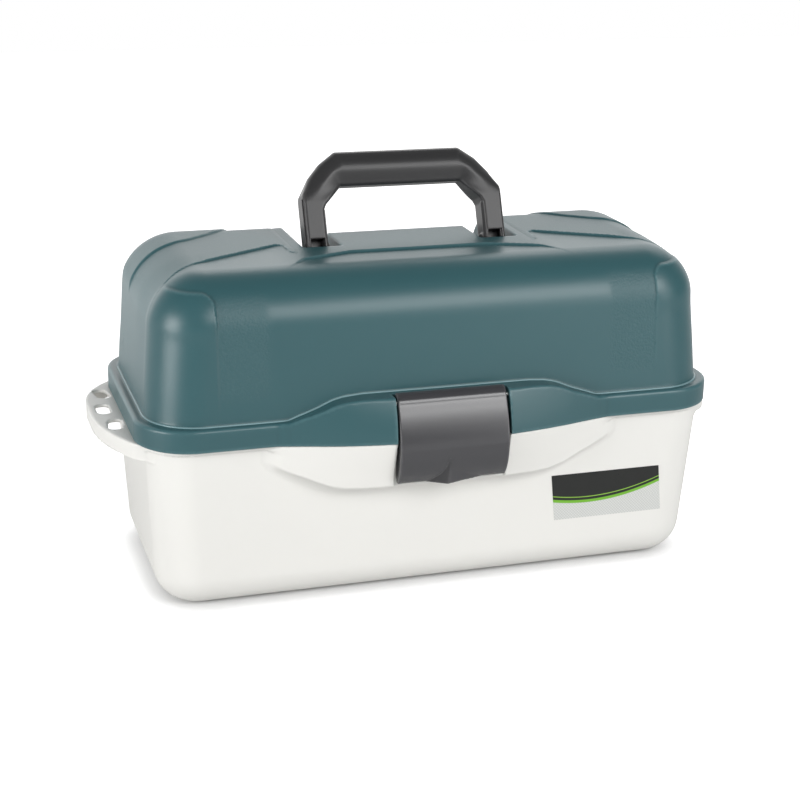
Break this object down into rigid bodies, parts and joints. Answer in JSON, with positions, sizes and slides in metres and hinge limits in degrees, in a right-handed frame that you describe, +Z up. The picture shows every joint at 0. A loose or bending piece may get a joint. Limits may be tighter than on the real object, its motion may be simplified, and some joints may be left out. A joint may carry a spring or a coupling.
{
  "type": "fishing tackle box",
  "caption": "Moulded tackle box with a teal lift-up lid, an off-white base with end wings, a snap latch, a fold-down carrying handle and a cantilever of divided trays.",
  "frame": {"origin": "centre of the flat underside of the base, on the surface it stands on", "axes": "+X along the box to the right, +Y to the back where the hinge is, +Z up"},
  "size_m": [0.461, 0.2204, 0.2942],
  "materials": {
    "base_plastic": "moulded, satin, warm off-white",
    "lid_plastic": "moulded, satin with fine stippled bands, dark teal",
    "charcoal_plastic": "moulded, fine grain, charcoal",
    "tray_plastic": "moulded, satin, light grey white",
    "divider_plastic": "moulded, satin",
    "arm_plastic": "moulded, charcoal",
    "steel": "bright steel",
    "sticker": null
  },
  "bodies": {
    "base": {"base_tub": "base_plastic", "hinge_pins": "steel", "arm_base_rivets": "steel", "front_sticker": "sticker"},
    "lid": {"lid_shell": "lid_plastic", "latch_pin": "steel", "handle_pin_right": "charcoal_plastic", "handle_pin_left": "charcoal_plastic"},
    "latch": {"latch": "charcoal_plastic"},
    "handle": {"handle": "charcoal_plastic"},
    "front_arms": {"front_arm_right": "arm_plastic", "front_arm_left": "arm_plastic"},
    "rear_arms": {"rear_arm_right": "arm_plastic", "rear_arm_left": "arm_plastic"},
    "lower_tray": {"lower_tray": "tray_plastic", "lower_tray_rivets": "steel", "lower_tray_dividers": "divider_plastic"},
    "middle_tray": {"middle_tray": "tray_plastic", "middle_tray_rivets": "steel", "middle_tray_dividers": "divider_plastic"},
    "upper_tray": {"upper_tray": "tray_plastic", "upper_tray_rivets": "steel", "upper_tray_dividers": "divider_plastic"}
  },
  "joints": [
    {"name": "lid_hinge", "type": "hinge", "parent": "base", "child": "lid", "pos_m": [0, 0.1, 0.112], "axis": [-1, 0, 0], "range_deg": [0, 105]},
    {"name": "latch_hinge", "type": "hinge", "parent": "lid", "child": "latch", "pos_m": [0, -0.1022, 0.147], "axis": [-1, 0, 0], "range_deg": [0, 100]},
    {"name": "handle_hinge", "type": "hinge", "parent": "lid", "child": "handle", "pos_m": [0, 0, 0.2265], "axis": [-1, 0, 0], "range_deg": [-23, 57]},
    {"name": "front_arm_hinge", "type": "hinge", "parent": "base", "child": "front_arms", "pos_m": [0, 0.01, 0.088], "axis": [-1, 0, 0], "range_deg": [0, 60]},
    {"name": "rear_arm_hinge", "type": "hinge", "parent": "base", "child": "rear_arms", "pos_m": [0, 0.052, 0.088], "axis": [-1, 0, 0], "range_deg": [0, 60]},
    {"name": "lower_tray_hinge", "type": "hinge", "parent": "front_arms", "child": "lower_tray", "pos_m": [0, -0.01, 0.12264], "axis": [-1, 0, 0], "range_deg": [-60, 0]},
    {"name": "middle_tray_hinge", "type": "hinge", "parent": "front_arms", "child": "middle_tray", "pos_m": [0, -0.03, 0.15728], "axis": [-1, 0, 0], "range_deg": [-60, 0]},
    {"name": "upper_tray_hinge", "type": "hinge", "parent": "front_arms", "child": "upper_tray", "pos_m": [0, -0.05, 0.19192], "axis": [-1, 0, 0], "range_deg": [-60, 0]}
  ],
  "couplings": [
    {"joint": "front_arm_hinge", "follows": "lid_hinge", "ratio": 0.57143},
    {"joint": "rear_arm_hinge", "follows": "lid_hinge", "ratio": 0.57143},
    {"joint": "lower_tray_hinge", "follows": "lid_hinge", "ratio": -0.57143},
    {"joint": "middle_tray_hinge", "follows": "lid_hinge", "ratio": -0.57143},
    {"joint": "upper_tray_hinge", "follows": "lid_hinge", "ratio": -0.57143}
  ]
}
